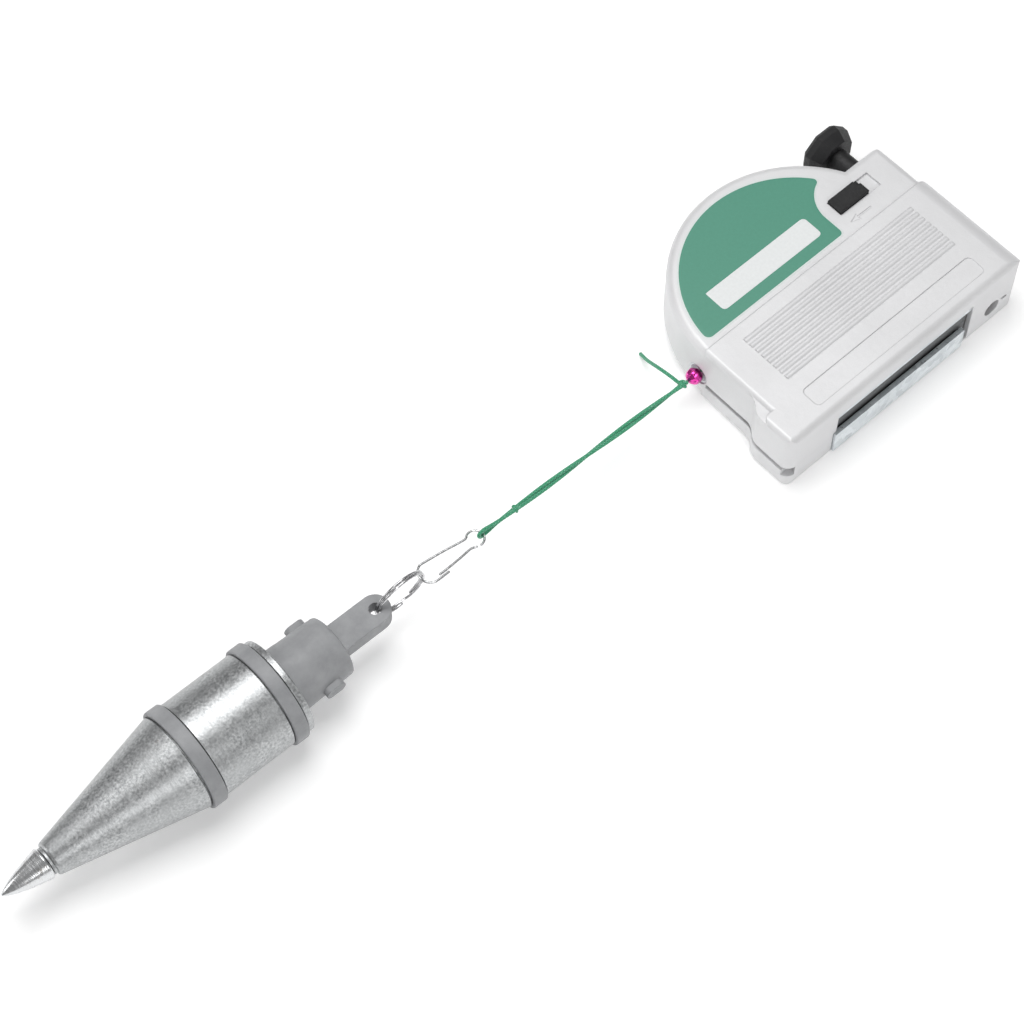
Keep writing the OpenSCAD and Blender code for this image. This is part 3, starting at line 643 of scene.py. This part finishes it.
def pair_route(n=170):
    """The middle line runs straight from knot to eye. Each run stands off it by half the gap, at an
    angle that is upright at the eye and turns slowly on the way back; the loop at the eye is half a
    circle of the wider gap."""
    x = np.linspace(-7.6, TURN_X, n)
    t = (x + 7.6) / (TURN_X + 7.6)
    mid = np.stack([x, 48.4 + (EYE[1] - 48.4) * t, LINE_Z0 + (TURN_Z - LINE_Z0) * t], -1)
    back = np.abs(x - x[-1])
    gap = 0.64 + 0.98 * np.exp(-(back / 3.6) ** 2)
    turn = np.pi / 2 + 2 * np.pi * np.clip(back - 3, 0, None) / 78
    off = gap[:, None] * np.stack([0 * x, np.cos(turn), np.sin(turn)], -1)
    a = np.linspace(0, np.pi, 14)[1:-1]
    loop = mid[-1] + 1.62 * np.stack([-np.sin(a), 0 * a, np.cos(a)], -1)
    return np.concatenate([mid + off, loop, (mid - off)[::-1]])


def smooth_through(points, step=0.35):
    """A smooth line through given points: a cubic between each pair, its slopes taken from the
    neighbours, sampled at an even step."""
    p = np.asarray(points, float)
    ext = np.vstack([2 * p[0] - p[1], p, 2 * p[-1] - p[-2]])
    out = []
    for i in range(1, len(ext) - 2):
        a, b, c, d = ext[i - 1:i + 3]
        t = np.linspace(0, 1, max(2, int(np.linalg.norm(c - b) / step)), endpoint=False)[:, None]
        bend, twist = 2 * a - 5 * b + 4 * c - d, 3 * b - a - 3 * c + d
        out.append(0.5 * (2 * b + (c - a) * t + bend * t**2 + twist * t**3))
    return np.concatenate(out + [p[-1:]])


pair = pair_route()
lead_in = np.array([[-4.4, 48.3, 12.5], [-5.4, 48.3, 12.6], [-6.6, 48.45, 12.9]])
tail = np.array([[-6.9, 48.6, 12.3], [-7.2, 49.6, 12.35], [-7.5, 51.2, 12.6], [-7.6, 53, 12.6], [-7.7, 57, 11.9],
                 [-7.0, 62, 9.2], [-5.6, 67, 5.2], [-4.2, 70.8, 2.3], [-3.6, 72.6, 1.2]])
route = smooth_through(np.concatenate([lead_in, pair[::6], tail]), 0.4)


# %% A braided tube
def frames(path, side):
    """Unit tangents of a path and two unit vectors square to it; the first leans away from side."""
    t = np.gradient(path, axis=0)
    t /= np.linalg.norm(t, axis=1)[:, None]
    a = np.cross(t, side)
    a /= np.linalg.norm(a, axis=1)[:, None]
    return t, a, np.cross(t, a)


def carried_frames(path, first):
    """The same, but each cross direction is carried along from the last one, so it never flips."""
    t = np.gradient(path, axis=0)
    t /= np.linalg.norm(t, axis=1)[:, None]
    a = np.empty_like(t)
    a[0] = np.cross(t[0], first)
    for i in range(1, len(t)):
        a[i] = a[i - 1] - (a[i - 1] @ t[i]) * t[i]
        a[i] /= np.linalg.norm(a[i])
    a[0] /= np.linalg.norm(a[0])
    return t, a, np.cross(t, a)


def tube(name, path, radius, around=16, side=(0, 1, 0), relief=None, taper=0.0):
    """A ring of points at each place of the path; relief(angle, distance) scales the radius, and
    taper rounds the two ends over that length. The map holds angle and distance in millimetres."""
    path = np.asarray(path, float)
    t, a, b = frames(path, side) if side is not None else carried_frames(path, (0.13, 0.4, 1))
    s = np.concatenate([[0], np.cumsum(np.linalg.norm(np.diff(path, axis=0), axis=1))])
    ang = np.linspace(0, 2 * np.pi, around, endpoint=False)
    r = radius * np.ones((len(path), around))
    if relief is not None:
        r = r * relief(ang[None, :], s[:, None])
    if taper:
        end = np.clip(np.minimum(s, s[-1] - s) / taper, 0, 1)
        r = r * np.sqrt(np.clip(1 - (1 - end) ** 2, 0.0004, 1))[:, None]
    spoke = np.cos(ang)[None, :, None] * a[:, None] + np.sin(ang)[None, :, None] * b[:, None]
    p = path[:, None] + r[..., None] * spoke
    n, m = r.shape
    grid = at(p[..., 0], p[..., 1], p[..., 2]).reshape(-1, 3)
    ends = at(*path[[0, -1]].T)
    i, j = np.meshgrid(np.arange(n - 1), np.arange(m), indexing="ij")
    k = (j + 1) % m
    quads = np.stack([i * m + j, (i + 1) * m + j, (i + 1) * m + k, i * m + k], -1).reshape(-1, 4)
    c = np.arange(m)
    d = (c + 1) % m
    caps = np.concatenate([np.stack([c, d, np.full(m, n * m)], -1),
                           np.stack([(n - 1) * m + d, (n - 1) * m + c, np.full(m, n * m + 1)], -1)])
    ob = add_mesh(name, np.concatenate([grid, ends]), quads.tolist() + caps.tolist())
    uv = ob.data.uv_layers.new(name="along")
    turn_part, dist_part = np.broadcast_arrays(ang / (2 * np.pi), s[:, None])
    spots = np.concatenate([np.stack([turn_part, dist_part], -1).reshape(-1, 2), [[0.5, 0], [0.5, s[-1]]]])
    loops = np.empty(len(ob.data.loops), int)
    ob.data.loops.foreach_get("vertex_index", loops)
    uv.data.foreach_set("uv", spots[loops].ravel())
    face_out(ob)
    return ob


BRAID_PITCH, CARRIERS = 2.6, 4


def braid(angle, s):
    """Two sets of ridges winding opposite ways; the higher of the two is the strand on top."""
    u = np.abs(np.cos(CARRIERS * (angle / 2 + np.pi * s / BRAID_PITCH / 2)))
    v = np.abs(np.cos(CARRIERS * (angle / 2 - np.pi * s / BRAID_PITCH / 2)))
    return 0.90 + 0.13 * np.maximum(u, v) ** 0.7


leader = tube("leader_cord", route, CORD_R, 16, side=None, relief=braid, taper=0.3)
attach(leader, "leader")

# %% [markdown]
# ### Knots
# A knot pulled tight is a lump of crossing turns. A cord that follows a trefoil, squeezed along
# the line, gives those turns: three lobes that pass over and under each other.

# %% Knots
def knot_turns(name, centre, size, cord, tilt, n=150):
    """A trefoil: the angle goes twice round while the radius and height rise and fall three times;
    it is scaled to the size of the lump in each direction."""
    t = np.linspace(0, 2 * np.pi * 0.985, n)
    rad = 2 + np.cos(3 * t)
    p = np.stack([np.sin(3 * t) * 1.5, rad * np.cos(2 * t), rad * np.sin(2 * t)], -1) / 3
    c, s = math.cos(tilt), math.sin(tilt)
    p = p @ np.array([[c, s, 0], [-s, c, 0], [0, 0, 1]])
    p = np.asarray(centre) + p * (np.asarray(size) - cord)
    ob = tube(name, p, cord, 14, side=None, relief=braid, taper=0.2)
    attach(ob, "leader")
    return ob


end_knot = knot_turns("knot_at_bead", (-6.7, 48.5, 12.5), (2.3, 1.75, 1.75), 0.66, 0.5)
mid_place = (-83.9, 49.25, LINE_Z0 + (TURN_Z - LINE_Z0) * 0.84)
mid_knot = knot_turns("knot_on_leader", mid_place, (1.3, 1.55, 1.6), 0.55, 0.3)
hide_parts("end_knot")
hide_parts("mid_knot")
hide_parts("leader_line", "line_tail")

# %% Line that the drum pays out
RUN_AIM, WIND_R, STUB_IN, STUB_OUT = math.radians(28.95), 22, 2.6, -0.2
stub_line = np.linspace([STUB_IN, 48.3, 12.5], [STUB_OUT, 48.3, 12.5], 30)
stub = tube("line_out", stub_line, 0.5, 12, relief=braid)
drum_end = [48.5 - WIND_R * math.sin(RUN_AIM), 47 + WIND_R * math.cos(RUN_AIM), 12.5]
run_points = np.vstack([[[STUB_IN, 48.3, 12.5], [4.6, 48.3, 12.5]], np.linspace([5.6, 48.4, 12.5], drum_end, 12)])
run = smooth_through(run_points, 0.4)
inner = tube("line_inside", run, 0.5, 12, side=(0, 0, 1), relief=braid)
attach(inner, "case")
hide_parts("line_run")
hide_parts("line_run")
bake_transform(stub)

# %% [markdown]
# ### Braided polyester
# The cord is dyed green with a few paler threads in it. Its map runs along and around, so the
# same two winding families that lift the surface also paint shade into the gaps between the strands.

# %% Cord finish
def cord_finish(name, gap_shade, bright, pale):
    """Green strands with painted shade in the gaps between them; every few crossings one strand shows paler."""
    f = Finish(name, Sheen_Weight=0.25, Sheen_Roughness=0.5)
    uv = f.node("ShaderNodeUVMap", uv_map="along").outputs[0]
    sep = f.node("ShaderNodeSeparateXYZ")
    f.link(uv, sep.inputs[0])
    turn, dist = sep.outputs[0], sep.outputs[1]
    fam = []
    for sign in (1, -1):
        around, along = CARRIERS * math.pi, sign * CARRIERS * math.pi / BRAID_PITCH / 2
        ph = f.math("ADD", f.math("MULTIPLY", turn, around), f.math("MULTIPLY", dist, along))
        fam.append(f.math("ABSOLUTE", f.math("COSINE", ph)))
    top = f.math("MAXIMUM", fam[0], fam[1])
    # painted shade: the colour goes dark in the gaps between strands and takes the dye colour on the strand tops
    tone = f.mix(f.span(top, 0.25, 0.95), gap_shade, bright)
    thread = f.span(f.noise(2600, 2, 0.5), 0.56, 0.66)
    f.set("Base Color", f.mix(f.math("MULTIPLY", thread, f.span(top, 0.6, 0.95)), tone, pale))
    f.set("Roughness", f.span(f.noise(5000, 2), 0.3, 0.7, 0.62, 0.82))
    f.bump(f.noise(9000, 2), 0.00004)
    return f.mat


cord_mat = cord_finish("braided_green", (0.012, 0.12, 0.055), (0.05, 0.36, 0.19), (0.30, 0.62, 0.45))
for piece in (leader, end_knot, mid_knot, stub, inner):
    piece.data.materials.append(cord_mat)
dress(cord_mat, "wound_line")

# %% [markdown]
# ## Bead, clip and split ring
# The bead is a hollow metal ball, dyed magenta and crimped, so creases run from hole to hole.
# Clip and ring are bent wire. The ring is a flat coil of two turns whose ends stop opposite
# each other; the clip is one wire round a small eye, out along one side, round the wide end, and
# back as a springy side that hooks over it.

# %% Crimped bead
def bead(name, centre, radius, around=144, along=72):
    """A ball about the line's direction: radius times one plus small folds that run from pole to
    pole, bent a little, and fade at both holes."""
    th = np.linspace(0.20, np.pi - 0.20, along)[:, None]
    ph = np.linspace(0, 2 * np.pi, around, endpoint=False)[None, :]
    wave = np.cos(9 * ph + 1.3 * np.sin(2 * th + 0.6) + 0.6 * np.sin(2 * ph))
    r = radius * (0.965 + np.sin(th) ** 1.5 * (0.035 * wave + 0.012 * np.cos(17 * ph - 3 * th)))
    x, y, z = r * np.cos(th) * (1 + 0 * ph), r * np.sin(th) * np.cos(ph), r * np.sin(th) * np.sin(ph)
    rim = np.stack([x, y, z], -1)
    hole = 0.55 * rim[[0, -1]] * [1.5, 1, 1]
    hole[:, :, 0] = np.array([[0.6], [-0.6]]) * radius
    p = np.concatenate([hole[:1], rim, hole[1:]]) + np.asarray(centre)
    n, m = p.shape[:2]
    i, j = np.meshgrid(np.arange(n - 1), np.arange(m), indexing="ij")
    k = (j + 1) % m
    faces = np.stack([i * m + j, i * m + k, (i + 1) * m + k, (i + 1) * m + j], -1).reshape(-1, 4).tolist()
    faces += [list(range(m - 1, -1, -1)), list(range((n - 1) * m, n * m))]
    ob = add_mesh(name, at(p[..., 0], p[..., 1], p[..., 2]).reshape(-1, 3), faces)
    face_out(ob)
    return ob


ball = bead("crimped_bead", (-1.6, 48.3, 12.5), 3.0)
pink = Finish("magenta_metal", Metallic=1.0, Coat_Weight=0.5, Coat_Roughness=0.08)
pink.set("Base Color", pink.mix(pink.noise(500, 3), (0.62, 0.015, 0.26), (0.95, 0.09, 0.55)))
pink.set("Roughness", pink.span(pink.noise(900, 2), 0.3, 0.7, 0.14, 0.28))
pink.bump(pink.noise(1300, 3), 0.00006)
ball.data.materials.append(pink.mat)
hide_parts("stop_bead")
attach(ball, "leader")

# %% Wire clip
END, END_R, WIRE_R = np.array([-121.5, 49.4, 0.0]), 4.1, 0.44


def flat_arc(c, r, a0, a1, n):
    """Points of a level arc about c."""
    return np.column_stack([arc_points(c[0], c[1], r, a0, a1, n), np.zeros(n)])


def lifted(points):
    """The clip rises a little from its eye toward the ring."""
    p = np.array(points, float)
    p[:, 2] = EYE[2] + RISE * (EYE[0] - p[:, 0])
    return p


waist = [[EYE[0] - 4.2, EYE[1] + 2.0, 0]]
hook = [[END[0] + 2.6, END[1] - END_R + 0.03, 0], [END[0] + 5.2, END[1] - END_R + 0.05, 0]]
clip_points = np.concatenate([flat_arc(EYE, EYE_R, -100, 138, 15), waist, [[-113.0, 52.5, 0]],
                              flat_arc(END, END_R, 97, 263, 15), hook])
clip = tube("clip_frame", smooth_through(lifted(clip_points), 0.3), WIRE_R, 16, side=(0, 0, 1), taper=0.35)
gate_points = [[EYE[0] - 1.3, EYE[1] - 2.95, 0], [EYE[0] - 3.8, EYE[1] - 2.1, 0], [EYE[0] - 8.4, EYE[1] - 2.45, 0],
               [END[0] + 5.4, EYE[1] - 2.78, 0], [END[0] + 1.4, EYE[1] - 2.78, 0]]
gate = tube("clip_gate_wire", smooth_through(lifted(gate_points), 0.3), WIRE_R, 16, side=(0, 0, 1), taper=0.35)

# %% Split ring
RING = np.array([-134.23, 49.9, 18.9])
RING_R, LEAN = 9.9, math.radians(98)
RING_AXIS = np.array([0, -math.sin(LEAN), math.cos(LEAN)])


def ring_route(n=260):
    """Two full turns; the wire steps across by its own width in one short stretch of the way."""
    a = np.linspace(math.radians(-60), math.radians(-60 + 700), n)
    across = -0.5 + 1.0 / (1 + np.exp(-(a - math.radians(-60 + 350)) / 0.16))
    u, w = np.array([1.0, 0, 0]), np.array([0, math.cos(LEAN), math.sin(LEAN)])
    return RING + RING_R * (np.cos(a)[:, None] * u + np.sin(a)[:, None] * w) + across[:, None] * RING_AXIS


ring = tube("split_ring_wire", ring_route(), 0.47, 14, side=tuple(RING_AXIS), taper=0.2)


def bright_wire(name, dark, light, rough):
    """Plated wire: bright, with small dull spots."""
    f = Finish(name, Metallic=1.0)
    f.set("Base Color", f.mix(f.span(f.noise(700, 4, 0.7), 0.4, 0.62), light, dark))
    f.set("Roughness", f.span(f.noise(1900, 3), 0.3, 0.7, rough, rough + 0.16))
    f.bump(f.noise(2300, 2), 0.00002)
    return f.mat


wire_mat = bright_wire("clip_wire", (0.42, 0.425, 0.43), (0.64, 0.645, 0.65), 0.16)
clip.data.materials.append(wire_mat)
gate.data.materials.append(wire_mat)
ring.data.materials.append(bright_wire("ring_nickel", (0.42, 0.42, 0.43), (0.72, 0.72, 0.73), 0.14))
for piece, node, body, where in (
        (clip, "clip_wire", "clip", "clip_white"), (gate, "clip_gate", "gate", "clip_white"),
        (ring, "split_ring", "ring", "ring_nickel")):
    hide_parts(node)
    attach(piece, body)

# %% [markdown]
# ## Springs inside
# Two springs work out of sight: a flat clock spring that winds the drum back and a coil round the
# push pin. The coil shortens as the plunger goes in, so it is squashed toward the pin's bush.

# %% Pin spring
PIN_X, PIN_Z, COIL_R, COIL_LEN, TURNS = 97.3, 8.6, 3.4, 26.0, 9
part_way = np.linspace(0, 1, 420)
wound = 2 * np.pi * TURNS * part_way
coil_line = [PIN_X + COIL_R * np.cos(wound), 9.2 + COIL_LEN * part_way, PIN_Z + COIL_R * np.sin(wound)]
coil = tube("pin_spring", np.stack(coil_line, -1), 0.5, 10, side=None, taper=0.2)
coil.data.materials.append(steel)
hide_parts("return_spring")
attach(coil, "case")
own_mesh(coil)

# %% [markdown]
# ## The floor's finish
# The floor is matt white paper, so that only a faint shadow is left under the tool.

# %% Floor finish
paper = Finish("white_paper")
paper.set("Base Color", paper.mix(paper.noise(300, 3), (0.93, 0.93, 0.93), (0.95, 0.95, 0.95)))
paper.set("Roughness", 0.9)
paper.set("Emission Color", (1, 1, 1))
paper.set("Emission Strength", 0.22)
floor.data.materials.append(paper.mat)
